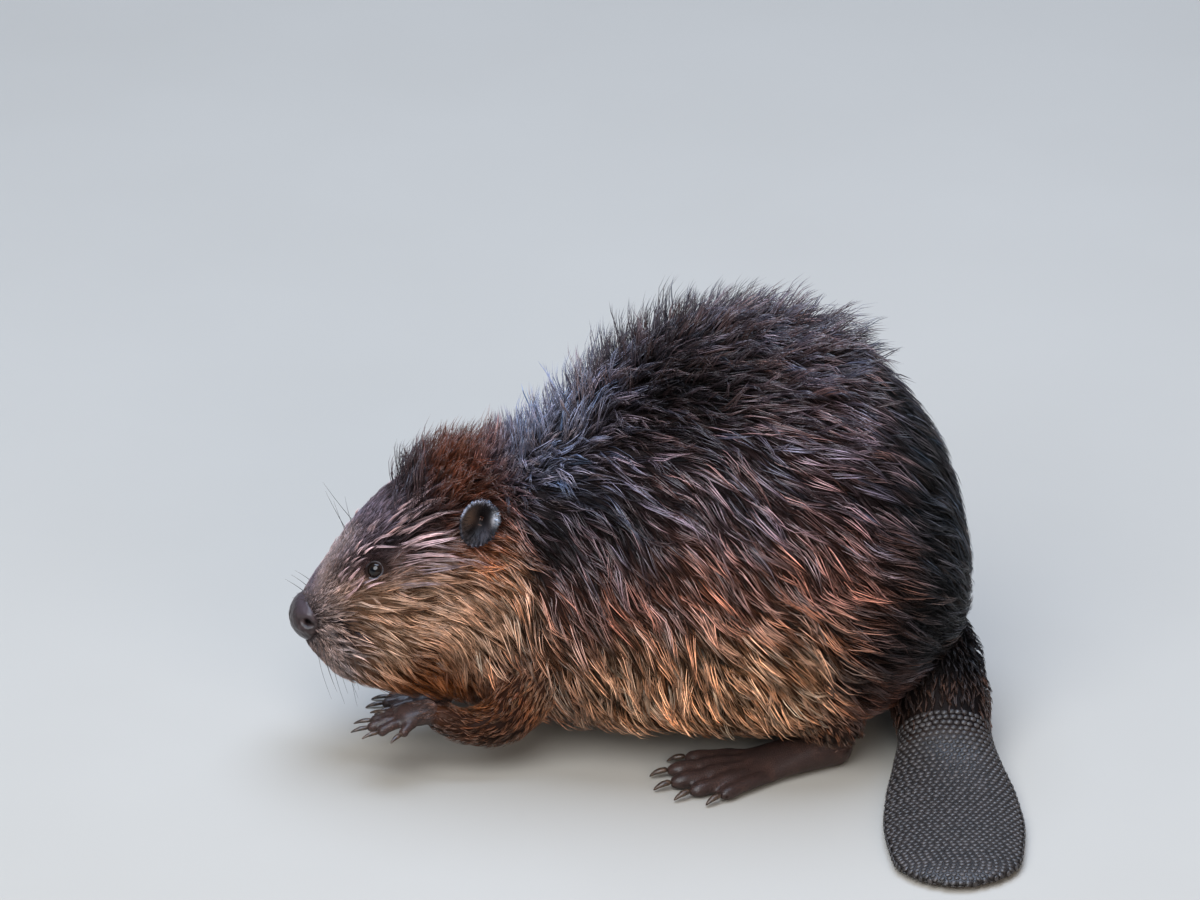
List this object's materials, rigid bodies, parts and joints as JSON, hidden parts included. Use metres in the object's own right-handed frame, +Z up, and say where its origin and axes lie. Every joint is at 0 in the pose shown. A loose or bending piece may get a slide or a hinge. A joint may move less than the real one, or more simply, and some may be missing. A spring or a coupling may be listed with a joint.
{
  "type": "beaver",
  "caption": "Life-size still model of a beaver hunched on its hind feet, head low, one forepaw lifted, flat tail swung to its left.",
  "frame": {"origin": "on the floor under the middle of the whole animal's bounding box", "axes": "+Z up; the head points toward -X and the rump toward +X; the animal's left side, where the tail lies, is toward -Y"},
  "size_m": [0.5448, 0.468, 0.3509],
  "materials": {
    "fur_back": "wet dark brown guard hair",
    "fur_flank": "wet chestnut guard hair",
    "fur_face": "short damp tan-brown hair",
    "ear": "thin dark skin with fine short hair",
    "nose_pad": "bare pebbled wet skin",
    "eye": "wet and glossy, nearly black",
    "paw_skin": "bare wrinkled damp skin",
    "claw": "dark horn, slightly worn",
    "tail_scales": "overlapping leathery scales, damp",
    "whisker": "smooth stiff hair"
  },
  "bodies": {
    "root": {"head": "fur_face", "lower_jaw": "fur_face", "nose": "nose_pad", "eye_left": "eye", "eye_right": "eye", "ear_left": "ear", "ear_right": "ear", "neck": "fur_flank", "trunk": "fur_back", "foreleg_left": "fur_flank", "foreleg_right": "fur_flank", "forepaw_left": "paw_skin", "forepaw_right": "paw_skin", "hindleg_left": "fur_flank", "hindleg_right": "fur_flank", "hindfoot_left": "paw_skin", "hindfoot_right": "paw_skin", "tail_root": "fur_flank", "tail_paddle": "tail_scales", "claw_fore_left_1": "claw", "claw_fore_left_2": "claw", "claw_fore_left_3": "claw", "claw_fore_left_4": "claw", "claw_fore_left_5": "claw", "claw_fore_right_1": "claw", "claw_fore_right_2": "claw", "claw_fore_right_3": "claw", "claw_fore_right_4": "claw", "claw_fore_right_5": "claw", "claw_hind_left_1": "claw", "claw_hind_left_2": "claw", "claw_hind_left_3": "claw", "claw_hind_left_4": "claw", "claw_hind_left_5": "claw", "claw_hind_right_1": "claw", "claw_hind_right_2": "claw", "claw_hind_right_3": "claw", "claw_hind_right_4": "claw", "claw_hind_right_5": "claw"}
  },
  "joints": []
}
